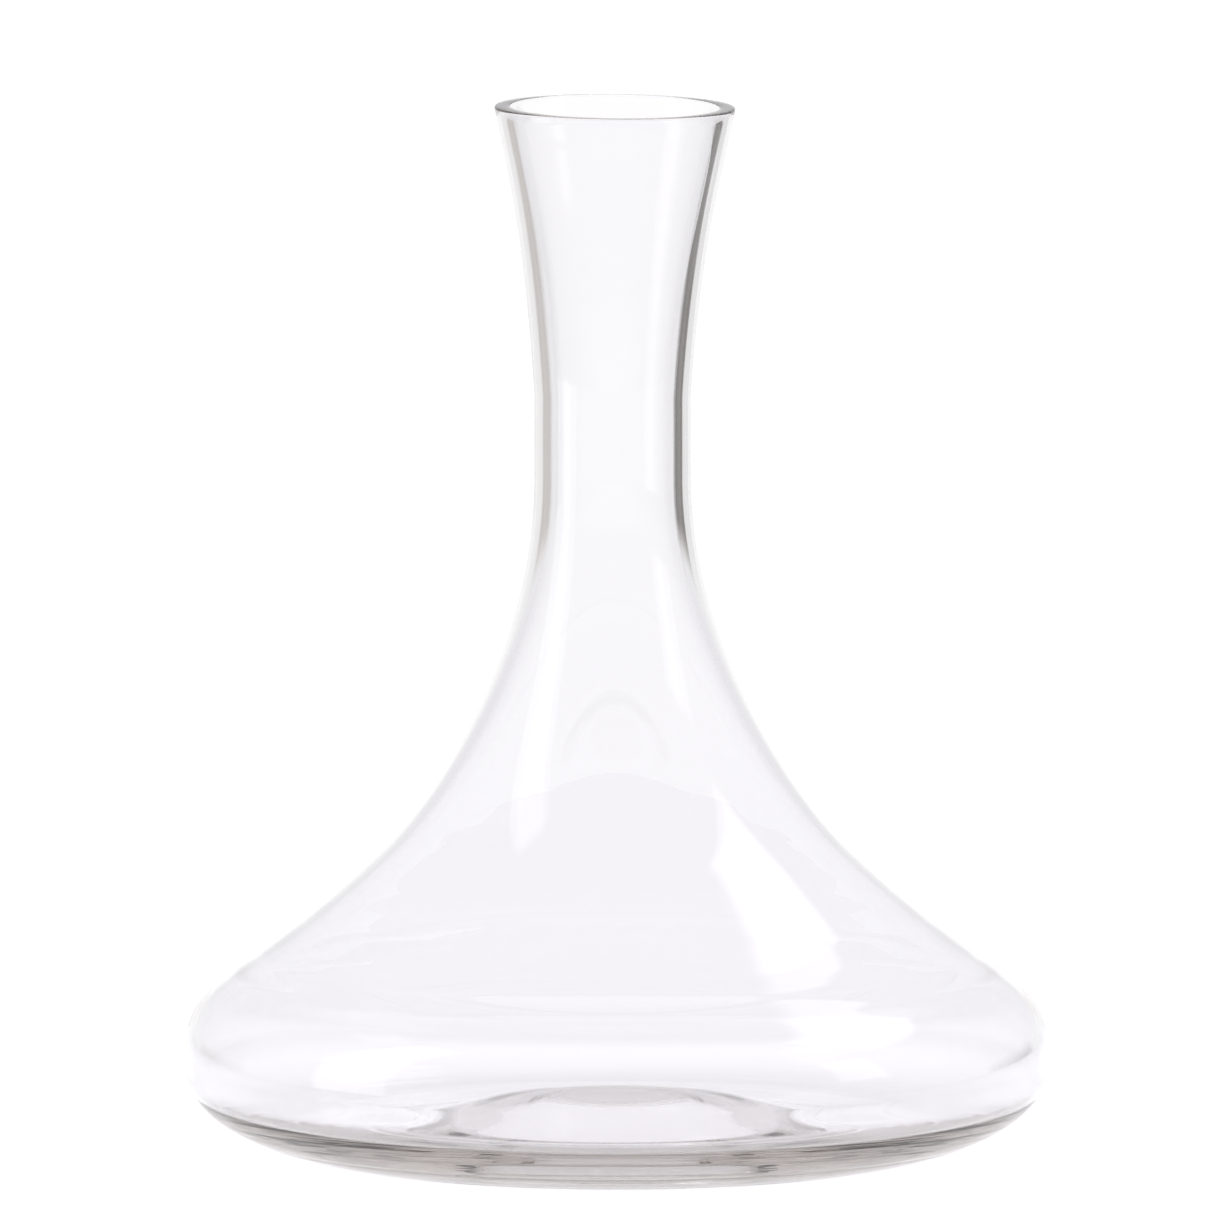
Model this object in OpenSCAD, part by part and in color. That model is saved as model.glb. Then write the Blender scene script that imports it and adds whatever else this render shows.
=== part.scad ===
// Wine decanter: one mouth-blown piece of clear glass.
// The outline is turned about Z. The foot ring rests on Z = 0 and the mouth opens upwards.
// Every radius is measured from the Z axis and every height from the foot ring. Sizes are in millimetres.

/* [Rim] */
// Overall height, from the foot ring to the rim
height = 245; // [205:1:300]
// Outside diameter of the flared mouth
rim_d = 55.6; // [50:0.1:70]
// Thickness of the glass at the rim
rim_wall = 3.7; // [2:0.1:5]
// Radius on the flat rim's inner and outer edges
rim_edge_r = 0.5; // [0.2:0.1:0.9]
// Lean of the neck's wall at the rim, from vertical, in degrees
flare_angle = 10.5; // [6:0.5:20]

/* [Neck] */
// Outside diameter of the neck's straight, narrowest stretch
throat_d = 36.2; // [35:0.1:44]
// Diameter of the bore through that stretch
throat_bore_d = 29; // [24:0.1:34]
// Height where the straight stretch begins
throat_bottom = 158; // [130:1:165]
// Length of the straight stretch
throat_length = 20; // [10:1:24]
// Lean of the wall where the flare leaves the straight stretch, in degrees
kink_angle = 3.6; // [0:0.1:6]

/* [Bowl] */
// Radius where the bowl's slope changes from hollow to full
shoulder_r = 54; // [45:1:64]
// Height of that point
shoulder_z = 72; // [60:1:85]
// Lean of the wall at that point, from vertical, in degrees
shoulder_angle = 46; // [40:1:55]
// Thickness of the glass at that point
shoulder_wall = 2.2; // [1.5:0.1:3]
// Largest diameter of the bowl
belly_d = 200; // [166:1:240]
// Height of the largest diameter
belly_z = 23.4; // [19:0.1:30]
// Thickness of the glass at the largest diameter
belly_wall = 1.9; // [1.4:0.1:3]

/* [Floor] */
// Height of the floor's level ring above the table
floor_z = 8.8; // [7.5:0.1:12]
// Outside diameter of the level ring
floor_d = 112; // [105:1:130]
// Diameter of the foot of the mound that rises from the floor
mound_d = 97; // [70:1:104]
// Height of the mound, above the floor's level ring
mound_h = 6.6; // [5:0.1:9]
// Diameter of the mound's level top
mound_top_d = 28; // [16:1:40]

/* [Underside] */
// Outside diameter of the flat foot ring
foot_d = 84; // [78:1:104]
// Width of the foot ring
foot_ring_w = 6.5; // [2:0.5:8]
// Height of the hollow under the base, at its middle
punt_h = 10.3; // [5:0.1:12]
// Diameter of the flat, ground pontil mark in the middle of the hollow
pontil_d = 30.4; // [20:0.2:40]
// Depth that the pontil mark is ground into the glass
pontil_depth = 0.3; // [0.2:0.1:1]

/* [Hidden] */
glass = [0.94, 0.96, 0.97, 0.35];
curve_steps = 20; // Straight pieces in each stretch of the outline
edge_steps = 6; // Straight pieces round each edge of the rim
turn_fn = 180;

rim_r = rim_d / 2;
throat_r = throat_d / 2;
throat_bore_r = throat_bore_d / 2;
throat_top = throat_bottom + throat_length;
belly_r = belly_d / 2;
floor_r = floor_d / 2;
mound_top_r = mound_top_d / 2;
mound_z = floor_z + mound_h;
foot_r = foot_d / 2;
pontil_r = pontil_d / 2;
pontil_z = punt_h + pontil_depth;
rim_z = height - rim_edge_r;

// The wall's directions, going down from the rim
straight_down = [0, -1];
inwards = [-1, 0];
function leaning_in(angle) = [-sin(angle), -cos(angle)];
function leaning_out(angle) = [sin(angle), -cos(angle)];

// Points on a smooth curve from p to q, without q. It leaves p along p_way and meets q along q_way.
// p_pull and q_pull say how far each way holds, as shares of the distance from p to q.
function curve(p, p_way, p_pull, q, q_way, q_pull) =
    let (d = norm(q - p), a = p + p_way * p_pull * d, b = q - q_way * q_pull * d)
    [for (i = [0 : curve_steps - 1])
        let (t = i / curve_steps, s = 1 - t)
        s ^ 3 * p + 3 * s ^ 2 * t * a + 3 * s * t ^ 2 * b + t ^ 3 * q];

// One side of the neck, shoulder and bowl, from the rim down to the bowl's largest radius
function neck_to_belly(top_r, middle_r, shoulder, belly) = concat(
    curve([top_r, rim_z], leaning_in(flare_angle), 0.2, [middle_r, throat_top], leaning_in(kink_angle), 0.56),
    [[middle_r, throat_top]],
    curve([middle_r, throat_bottom], straight_down, 0.4, shoulder, leaning_out(shoulder_angle), 0.2),
    curve(shoulder, leaning_out(shoulder_angle), 0.72, belly, straight_down, 0.29));

// The outside, from the rim down to the foot ring
function outside() =
    let (belly = [belly_r, belly_z])
    concat(
        neck_to_belly(rim_r, throat_r, [shoulder_r, shoulder_z], belly),
        curve(belly, straight_down, 0.19, [foot_r, 0], inwards, 0.69));

// The foot ring and the hollow inside it, in to the axis
function underside() = concat(
    [[foot_r, 0]],
    curve([foot_r - foot_ring_w, 0], inwards, 0.25, [pontil_r, punt_h], inwards, 0.35),
    [[pontil_r, punt_h], [pontil_r, pontil_z], [0, pontil_z]]);

// The inside, from the rim down to the top of the mound
function inside() =
    let (square_to_wall = [cos(shoulder_angle), sin(shoulder_angle)],
         shoulder = [shoulder_r, shoulder_z] - square_to_wall * shoulder_wall,
         belly = [belly_r - belly_wall, belly_z])
    concat(
        neck_to_belly(rim_r - rim_wall, throat_bore_r, shoulder, belly),
        curve(belly, straight_down, 0.27, [floor_r, floor_z], inwards, 0.72),
        [[floor_r, floor_z]],
        curve([mound_d / 2, floor_z], inwards, 0.05, [mound_top_r, mound_z], inwards, 0.5),
        [[mound_top_r, mound_z], [0, mound_z]]);

// Points of a rounded rim edge about [middle_r, rim_z], clockwise from angle start, at the given steps
function rim_edge(middle_r, start, steps) =
    [for (i = steps)
        let (a = start - 90 * i / edge_steps)
        [middle_r + rim_edge_r * cos(a), rim_z + rim_edge_r * sin(a)]];

// The flat rim, from the inside out, without its two outermost points
function rim() = concat(
    rim_edge(rim_r - rim_wall + rim_edge_r, 180, [1 : edge_steps]),
    rim_edge(rim_r - rim_edge_r, 90, [0 : edge_steps - 1]));

function reversed(points) = [for (i = [len(points) - 1 : -1 : 0]) points[i]];

module vessel() {
    color(glass)
    rotate_extrude($fn = turn_fn)
    polygon(concat(outside(), underside(), reversed(inside()), rim()));
}

vessel();
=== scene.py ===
import bpy
from math import cos, hypot, pi, radians, sin, tau
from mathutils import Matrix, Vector


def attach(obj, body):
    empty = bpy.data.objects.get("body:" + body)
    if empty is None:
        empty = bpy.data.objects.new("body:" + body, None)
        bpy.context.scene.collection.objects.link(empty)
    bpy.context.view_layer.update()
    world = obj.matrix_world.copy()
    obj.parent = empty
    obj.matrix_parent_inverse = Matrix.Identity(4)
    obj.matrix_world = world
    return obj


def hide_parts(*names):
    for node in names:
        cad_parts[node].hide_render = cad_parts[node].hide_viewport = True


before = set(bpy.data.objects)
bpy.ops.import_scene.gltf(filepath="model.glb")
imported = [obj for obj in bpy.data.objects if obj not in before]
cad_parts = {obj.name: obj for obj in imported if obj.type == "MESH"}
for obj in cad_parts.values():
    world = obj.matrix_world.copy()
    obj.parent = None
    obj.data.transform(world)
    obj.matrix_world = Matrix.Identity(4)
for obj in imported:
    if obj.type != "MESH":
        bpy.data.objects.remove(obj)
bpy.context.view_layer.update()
scene = bpy.context.scene
MM = 0.001

# ---- The vessel's sizes, in millimetres. Radii are measured from its axis and heights from its foot
# ring, and a pair is (radius, height). An angle is the wall's lean from vertical, in degrees.
HEIGHT = 245.0
RIM_R = 27.8
RIM_WALL = 3.7
RIM_EDGE_R = 0.5
RIM_Z = HEIGHT - RIM_EDGE_R
FLARE_ANGLE = 10.5
THROAT_R = 18.1
BORE_R = 14.5
THROAT_BOTTOM = 158.0
THROAT_TOP = 178.0
KINK_ANGLE = 3.6
SHOULDER = (54.0, 72.0)
SHOULDER_ANGLE = 46.0
SHOULDER_WALL = 2.2
BELLY = (100.0, 23.4)
BELLY_WALL = 1.9
FLOOR = (56.0, 8.8)
MOUND_FOOT_R = 48.3
MOUND_TOP = (14.0, 15.4)
FOOT_R = 42.0
FOOT_RING_W = 6.5
PONTIL_R = 15.2
PUNT_H = 10.3
PONTIL_DEPTH = 0.3

# ---- The outline's curves: how far each holds its direction at its start and at its end, as shares of
# the distance between the two, and how many straight pieces it is made of
FLARE = (0.2, 0.56, 20)
SWEEP = (0.4, 0.2, 26)
BOWL = (0.72, 0.29, 30)
OUTER_BASE = (0.19, 0.69, 150)
PUNT = (0.25, 0.35, 36)
INNER_BASE = (0.27, 0.72, 36)
MOUND = (0.05, 0.5, 34)

# ---- The straight pieces in each level or upright stretch, round each edge of the rim and in a full turn
THROAT_STEPS = 4
FOOT_RING_STEPS = 3
PONTIL_STEPS = 6
FLOOR_STEPS = 4
MOUND_TOP_STEPS = 5
RIM_EDGE_STEPS = 4
SEGMENTS = 192
AXIS_GAP = 0.4  # Radius of the small fans of triangles that close the outline at the axis

# ---- What the glassmaker's hands left. The neck leans, growing from DRIFT_FROM to the throat, and comes
# partly back above it. The rim is cut lower towards +X, growing from DROP_FROM to the rim.
NECK_DRIFT = -0.9
DRIFT_FROM = 60.0
DRIFT_BACK = 0.5
RIM_DROP = 0.55
DROP_FROM = 200.0

# ---- Fine rings that the tools left in the outside of the base and bowl, between two radii
RING_INNER = 42.0
RING_OUTER = 97.0
RING_FADE = 6.0
RING_STEP = 6.0
RING_HEIGHT = 0.07
RING_WAVES = ((1.0, 1.0, 0.0), (0.6, 1.63, 1.0), (0.5, 0.41, 2.0))  # Each wave's share, rate and shift

DOWN = (0.0, -1.0)
INWARDS = (-1.0, 0.0)


def leaning_in(angle):
    """The way down a wall that narrows downwards."""
    return (-sin(radians(angle)), -cos(radians(angle)))


def leaning_out(angle):
    """The way down a wall that widens downwards."""
    return (sin(radians(angle)), -cos(radians(angle)))


def curve(p, p_way, q, q_way, kind):
    """A smooth stretch from p to q, without q, leaving p along p_way and meeting q along q_way."""
    p_pull, q_pull, steps = kind
    d = hypot(q[0] - p[0], q[1] - p[1])
    a = (p[0] + p_way[0] * p_pull * d, p[1] + p_way[1] * p_pull * d)
    b = (q[0] - q_way[0] * q_pull * d, q[1] - q_way[1] * q_pull * d)
    points = []
    for i in range(steps):
        t = i / steps
        s = 1 - t
        shares = (s ** 3, 3 * s * s * t, 3 * s * t * t, t ** 3)
        points.append(tuple(sum(k * v[j] for k, v in zip(shares, (p, a, b, q))) for j in (0, 1)))
    return points


def line(p, q, steps):
    """Evenly spaced points from p to q, without q."""
    return [(p[0] + (q[0] - p[0]) * i / steps, p[1] + (q[1] - p[1]) * i / steps) for i in range(steps)]


def neck_to_belly(top_r, middle_r, shoulder, belly):
    """One side of the wall, from the rim down to the largest radius."""
    throat_top = (middle_r, THROAT_TOP)
    throat_bottom = (middle_r, THROAT_BOTTOM)
    lean = leaning_out(SHOULDER_ANGLE)
    return (curve((top_r, RIM_Z), leaning_in(FLARE_ANGLE), throat_top, leaning_in(KINK_ANGLE), FLARE)
            + line(throat_top, throat_bottom, THROAT_STEPS)
            + curve(throat_bottom, DOWN, shoulder, lean, SWEEP)
            + curve(shoulder, lean, belly, DOWN, BOWL))


def outside():
    """The outside, from the rim down to the foot ring."""
    return (neck_to_belly(RIM_R, THROAT_R, SHOULDER, BELLY)
            + curve(BELLY, DOWN, (FOOT_R, 0), INWARDS, OUTER_BASE))


def underside():
    """The foot ring and the hollow inside it, in to the axis."""
    ring_inner = FOOT_R - FOOT_RING_W
    pontil_z = PUNT_H + PONTIL_DEPTH
    return (line((FOOT_R, 0), (ring_inner, 0), FOOT_RING_STEPS)
            + curve((ring_inner, 0), INWARDS, (PONTIL_R, PUNT_H), INWARDS, PUNT)
            + [(PONTIL_R, PUNT_H)]
            + line((PONTIL_R - PONTIL_DEPTH, pontil_z), (0, pontil_z), PONTIL_STEPS))


def inside():
    """The inside, from the rim down to the top of the mound."""
    square_to_wall = (cos(radians(SHOULDER_ANGLE)), sin(radians(SHOULDER_ANGLE)))
    shoulder = tuple(SHOULDER[j] - square_to_wall[j] * SHOULDER_WALL for j in (0, 1))
    belly = (BELLY[0] - BELLY_WALL, BELLY[1])
    mound_foot = (MOUND_FOOT_R, FLOOR[1])
    return (neck_to_belly(RIM_R - RIM_WALL, BORE_R, shoulder, belly)
            + curve(belly, DOWN, FLOOR, INWARDS, INNER_BASE)
            + line(FLOOR, mound_foot, FLOOR_STEPS)
            + curve(mound_foot, INWARDS, MOUND_TOP, INWARDS, MOUND)
            + line(MOUND_TOP, (0, MOUND_TOP[1]), MOUND_TOP_STEPS))


def rim():
    """The flat rim and its two rounded edges, from the outside in, without its first and last points."""
    steps = RIM_EDGE_STEPS
    outer = [pi / 2 * i / steps for i in range(1, steps + 1)]
    inner = [pi / 2 + a - pi / 2 / steps for a in outer]
    outer_middle = RIM_R - RIM_EDGE_R
    inner_middle = RIM_R - RIM_WALL + RIM_EDGE_R
    return ([(outer_middle + RIM_EDGE_R * cos(a), RIM_Z + RIM_EDGE_R * sin(a)) for a in outer]
            + [(RIM_R - RIM_WALL / 2, HEIGHT)]
            + [(inner_middle + RIM_EDGE_R * cos(a), RIM_Z + RIM_EDGE_R * sin(a)) for a in inner])


def smooth(low, high, value):
    """0 below low, 1 above high and a smooth step between."""
    t = min(1.0, max(0.0, (value - low) / (high - low)))
    return t * t * (3 - 2 * t)


def tool_rings(r):
    """Height of the rings' waves at radius r, above or below the plain surface."""
    fade_in = smooth(RING_INNER, RING_INNER + RING_FADE, r)
    fade_out = 1 - smooth(RING_OUTER - RING_FADE, RING_OUTER, r)
    a = tau * r / RING_STEP
    waves = sum(share * sin(rate * a + shift) for share, rate, shift in RING_WAVES)
    return fade_in * fade_out * RING_HEIGHT * waves


def turn(name, outline, marked):
    """Turn the outline about Z. Its first and last points lie near the axis, and its first `marked`
    points are raised by the tool rings, where those are above the plain surface."""
    verts = [(0, 0, outline[0][1] * MM)]
    for i, (r, z) in enumerate(outline):
        lift = max(0.0, tool_rings(r)) if i < marked else 0.0
        lean = NECK_DRIFT * smooth(DRIFT_FROM, THROAT_BOTTOM, z)
        lean += DRIFT_BACK * smooth(THROAT_TOP, HEIGHT, z)
        drop = RIM_DROP * smooth(DROP_FROM, HEIGHT, z)
        for k in range(SEGMENTS):
            a = tau * k / SEGMENTS
            low_side = (1 + cos(a)) / 2
            verts.append(((r * cos(a) + lean) * MM, r * sin(a) * MM, (z + lift - drop * low_side) * MM))
    verts.append((0, 0, outline[-1][1] * MM))
    last_ring = 1 + (len(outline) - 1) * SEGMENTS
    faces = []
    for k in range(SEGMENTS):
        after = (k + 1) % SEGMENTS
        faces.append((0, 1 + after, 1 + k))
        for i in range(len(outline) - 1):
            low = 1 + i * SEGMENTS
            high = low + SEGMENTS
            faces.append((low + k, low + after, high + after, high + k))
        faces.append((len(verts) - 1, last_ring + k, last_ring + after))
    mesh = bpy.data.meshes.new(name)
    mesh.from_pydata(verts, [], faces)
    mesh.shade_smooth()
    piece = bpy.data.objects.new(name, mesh)
    scene.collection.objects.link(piece)
    return piece


# ---- Glass: blown surfaces are clear, the pontil mark is ground. The body absorbs a little, warmly,
# so that the thick base is darker than the thin bowl.
IOR = 1.5
CLEAR = (0.96, 0.956, 0.97, 1)
GROUND = (0.93, 0.91, 0.88, 1)
GROUND_ROUGHNESS = 0.3
BODY = (0.62, 0.58, 0.54, 1)
BODY_DENSITY = 12.0
PONTIL_MARGIN = (0.1, 1.0)  # Faces this far outside and above the pontil mark's edge still belong to it


def material(name):
    """A new material, with its nodes and links."""
    made = bpy.data.materials.new(name)
    made.use_nodes = True
    return made, made.node_tree.nodes, made.node_tree.links


def glass(name, colour, roughness):
    """A material whose surface lets light through."""
    made, nodes, links = material(name)
    surface = nodes["Principled BSDF"]
    surface.inputs["Base Color"].default_value = colour
    surface.inputs["Roughness"].default_value = roughness
    surface.inputs["IOR"].default_value = IOR
    surface.inputs["Transmission Weight"].default_value = 1.0
    return made, nodes, links


def clear_glass():
    """Smooth glass with the body's absorption."""
    made, nodes, links = glass("clear_glass", CLEAR, 0.0)
    absorb = nodes.new("ShaderNodeVolumeAbsorption")
    absorb.inputs["Color"].default_value = BODY
    absorb.inputs["Density"].default_value = BODY_DENSITY
    links.new(absorb.outputs["Volume"], nodes["Material Output"].inputs["Volume"])
    return made


def ground_glass():
    """The pontil mark's matt surface."""
    return glass("ground_glass", GROUND, GROUND_ROUGHNESS)[0]


def grind_pontil(piece):
    """Give the pontil mark's faces, which look down, the second material."""
    wide = (PONTIL_R + PONTIL_MARGIN[0]) * MM
    high = (PUNT_H + PONTIL_MARGIN[1]) * MM
    for face in piece.data.polygons:
        centre = face.center
        if centre.z < high and hypot(centre.x, centre.y) < wide and face.normal.z < 0:
            face.material_index = 1


# ---- The vessel
outline = underside()[::-1] + outside()[::-1] + rim() + inside()
outline = [(max(r, AXIS_GAP), z) for r, z in outline]
marked = len(underside()) + len(outside())
vessel = turn("decanter_glass", outline, marked)
vessel.data.materials.append(clear_glass())
vessel.data.materials.append(ground_glass())
grind_pontil(vessel)
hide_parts("vessel")
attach(vessel, "root")

# ---- Table: a round, pale disc that glows a little as painted light, and is a little greyer to both sides and behind as painted shade. Sizes are in metres.
TABLE_R = 0.85
TABLE_CORNERS = 128
TABLE_Z = -0.2 * MM
TABLE_ROUGHNESS = 0.9
# Painted light: how strongly the table glows, though it is no lamp
TABLE_PAINTED_GLOW = 0.32

# Painted shade: from and to which distance from the axis, and how pale the table is at each
SIDE_PAINTED_SHADE = (0.14, 0.7, 0.9, 0.6)
BACK_PAINTED_SHADE = (0.15, 0.4, 1.0, 0.91)


def painted_falloff(nodes, links, distance, spec):
    """How pale the painted shade leaves the table at a distance, by a smooth step."""
    made = nodes.new("ShaderNodeMapRange")
    made.interpolation_type = "SMOOTHSTEP"
    for socket, value in zip(("From Min", "From Max", "To Min", "To Max"), spec):
        made.inputs[socket].default_value = value
    links.new(distance, made.inputs["Value"])
    return made.outputs["Result"]


def table_white_painted_light():
    """Matt white with painted light: it glows a little, though it is no lamp, and painted shade darkens
    it to both sides and behind.
    """
    look, nodes, links = material("table_white_painted_light")
    surface = nodes["Principled BSDF"]
    surface.inputs["Roughness"].default_value = TABLE_ROUGHNESS
    surface.inputs["Specular IOR Level"].default_value = 0.0
    # Painted light: the table glows a little, though it is no lamp.
    surface.inputs["Emission Strength"].default_value = TABLE_PAINTED_GLOW
    place = nodes.new("ShaderNodeSeparateXYZ")
    links.new(nodes.new("ShaderNodeTexCoord").outputs["Object"], place.inputs[0])
    aside = nodes.new("ShaderNodeMath")
    aside.operation = "ABSOLUTE"
    links.new(place.outputs["X"], aside.inputs[0])
    pale = nodes.new("ShaderNodeMath")
    pale.operation = "MULTIPLY"
    # Painted shade: darker to both sides and behind, in the table's colour and in its glow.
    links.new(painted_falloff(nodes, links, aside.outputs[0], SIDE_PAINTED_SHADE), pale.inputs[0])
    links.new(painted_falloff(nodes, links, place.outputs["Y"], BACK_PAINTED_SHADE), pale.inputs[1])
    links.new(pale.outputs[0], surface.inputs["Base Color"])
    links.new(pale.outputs[0], surface.inputs["Emission Color"])
    return look


def table():
    """The disc that the vessel stands on."""
    turns = [tau * i / TABLE_CORNERS for i in range(TABLE_CORNERS)]
    points = [(TABLE_R * cos(a), TABLE_R * sin(a), 0) for a in turns]
    mesh = bpy.data.meshes.new("table")
    mesh.from_pydata(points, [], [tuple(range(TABLE_CORNERS))])
    mesh.materials.append(table_white_painted_light())
    made = bpy.data.objects.new("table", mesh)
    made.location.z = TABLE_Z
    scene.collection.objects.link(made)
    return made


table()

# ---- Studio: a lit panel low behind the vessel, a paler backdrop above it, dark gaps beside the panel,
# lit side walls, a front that is dimmer above than low down, and a ceiling. Azimuths are in degrees from
# straight behind the vessel, growing to the right, heights are sines of the elevation and brightnesses
# are plain factors.
PANEL_CORE = 5.0
PANEL_HALF = 30.0
WALL_FROM = 58.0
FRONT_FROM = 120.0
EDGE_SOFT = 5.0
PANEL = 1.08
PANEL_EDGE = 0.9
BACKDROP = 0.88
LEFT_GAP = 0.6
RIGHT_GAP = 0.2
WALL = 0.9
FRONT_LOW = 1.0
FRONT = 0.75
CEILING = 0.85

# Heights between which the light changes: from the panel to the backdrop, from the gaps to the
# backdrop, and from all of that to the ceiling
BACKDROP_RISE = (0.02, 0.12)
GAP_RISE = (-0.04, 0.07)
CEILING_RISE = (0.2, 0.95)

# The colours of the light: low down, in the backdrop and above, and in the gaps
WHITE = (1.0, 1.0, 1.0, 1.0)
COOL = (0.985, 0.975, 1.0, 1)
WARM = (1.0, 0.95, 0.91, 1)

# Soft lamps: from and to which azimuth, from and to which height, and the brightness they add
LAMPS = (
    (42.0, 90.0, 0.67, 0.91, 1.3),
    (100.0, 118.0, 0.15, 0.6, 0.8),
    (-116.0, -90.0, -0.35, 0.87, 0.9),
)
LAMP_SOFT_SIDE = 2  # Degrees of azimuth over which a lamp fades at each side
LAMP_SOFT_END = 0.04  # Height over which it fades at its top and bottom

world = bpy.data.worlds.new("studio")
scene.world = world
world.use_nodes = True
studio_nodes = world.node_tree.nodes
studio_links = world.node_tree.links


def calc(operation, a, b):
    """One step of arithmetic on two values, each a number or a socket."""
    made = studio_nodes.new("ShaderNodeMath")
    made.operation = operation
    for socket, value in zip(made.inputs, (a, b)):
        if isinstance(value, (int, float)):
            socket.default_value = value
        else:
            studio_links.new(value, socket)
    return made.outputs[0]


def step_up(low, high, value):
    """A smooth step from 0 at low to 1 at high."""
    made = studio_nodes.new("ShaderNodeMapRange")
    made.interpolation_type = "SMOOTHSTEP"
    studio_links.new(value, made.inputs["Value"])
    made.inputs["From Min"].default_value = low
    made.inputs["From Max"].default_value = high
    return made.outputs["Result"]


def between(low, high, soft, value):
    """1 between low and high, falling smoothly to 0 at both."""
    rise = step_up(low, low + soft, value)
    fall = step_up(high - soft, high, value)
    return calc("MULTIPLY", rise, calc("SUBTRACT", 1, fall))


def blend(share, a, b):
    """a where share is 0, b where it is 1."""
    return calc("ADD", calc("MULTIPLY", calc("SUBTRACT", 1, share), a), calc("MULTIPLY", share, b))


def lamp(left, right, low, high, strength):
    """Brightness that one soft lamp adds between two azimuths and two heights."""
    across = between(left, right, LAMP_SOFT_SIDE, azimuth)
    up = between(low, high, LAMP_SOFT_END, height)
    return calc("MULTIPLY", calc("MULTIPLY", across, up), strength)


def tinted(share, a, b):
    """Colour a where share is 0, b where it is 1. Each is a colour or a socket."""
    mix = studio_nodes.new("ShaderNodeMix")
    mix.data_type = "RGBA"
    sockets = {s.identifier: s for s in (*mix.inputs, *mix.outputs)}
    studio_links.new(share, sockets["Factor_Float"])
    for name, colour in (("A_Color", a), ("B_Color", b)):
        if isinstance(colour, tuple):
            sockets[name].default_value = colour
        else:
            studio_links.new(colour, sockets[name])
    return sockets["Result_Color"]


way = studio_nodes.new("ShaderNodeSeparateXYZ")
studio_links.new(studio_nodes.new("ShaderNodeTexCoord").outputs["Generated"], way.inputs[0])
azimuth = calc("MULTIPLY", calc("ARCTAN2", way.outputs["X"], way.outputs["Y"]), 180 / pi)
turned = calc("ABSOLUTE", azimuth, 0)
height = way.outputs["Z"]
raised = step_up(*BACKDROP_RISE, height)
above_gap = step_up(*GAP_RISE, height)
on_right = step_up(-EDGE_SOFT, EDGE_SOFT, azimuth)
beside_panel = step_up(PANEL_HALF, PANEL_HALF + EDGE_SOFT, turned)
at_wall = step_up(WALL_FROM, WALL_FROM + EDGE_SOFT, turned)
at_front = step_up(FRONT_FROM, FRONT_FROM + EDGE_SOFT, turned)

panel = blend(step_up(PANEL_CORE, PANEL_HALF, turned), PANEL, PANEL_EDGE)
gap = blend(above_gap, blend(on_right, LEFT_GAP, RIGHT_GAP), BACKDROP)
brightness = blend(beside_panel, blend(raised, panel, BACKDROP), gap)
brightness = blend(at_wall, brightness, WALL)
brightness = blend(at_front, brightness, blend(raised, FRONT_LOW, FRONT))
brightness = blend(step_up(*CEILING_RISE, height), brightness, CEILING)
for spec in LAMPS:
    brightness = calc("ADD", brightness, lamp(*spec))

in_gap = calc("MULTIPLY", calc("SUBTRACT", beside_panel, at_wall), calc("SUBTRACT", 1, above_gap))
background = studio_nodes["Background"]
studio_links.new(tinted(in_gap, tinted(raised, WHITE, COOL), WARM), background.inputs["Color"])
studio_links.new(brightness, background.inputs["Strength"])

# ---- Camera: looking down by a few degrees from far away. The view's width and its aim are in
# millimetres, the distance in metres and the elevation in degrees.
VIEW_WIDTH = 280.0
VIEW_ELEVATION = 6.75
VIEW_DISTANCE = 12.0
AIM = (-2.2, 0.0, 128.6)
SENSOR_WIDTH = 36

elevation = radians(VIEW_ELEVATION)
lens = bpy.data.cameras.new("camera")
lens.sensor_width = SENSOR_WIDTH
lens.lens = lens.sensor_width * VIEW_DISTANCE / (VIEW_WIDTH * MM)
camera = bpy.data.objects.new("camera", lens)
scene.collection.objects.link(camera)
scene.camera = camera
target = Vector(AIM) * MM
camera.location = target + Vector((0, -cos(elevation), sin(elevation))) * VIEW_DISTANCE
camera.rotation_euler = (target - camera.location).to_track_quat("-Z", "Y").to_euler()

# ---- Light travels far inside the thick base before it leaves
BOUNCES = 64
DIFFUSE_BOUNCES = 3
scene.view_settings.view_transform = "Standard"
scene.cycles.max_bounces = BOUNCES
scene.cycles.transmission_bounces = BOUNCES
scene.cycles.glossy_bounces = BOUNCES
scene.cycles.diffuse_bounces = DIFFUSE_BOUNCES
scene.cycles.blur_glossy = 0.0
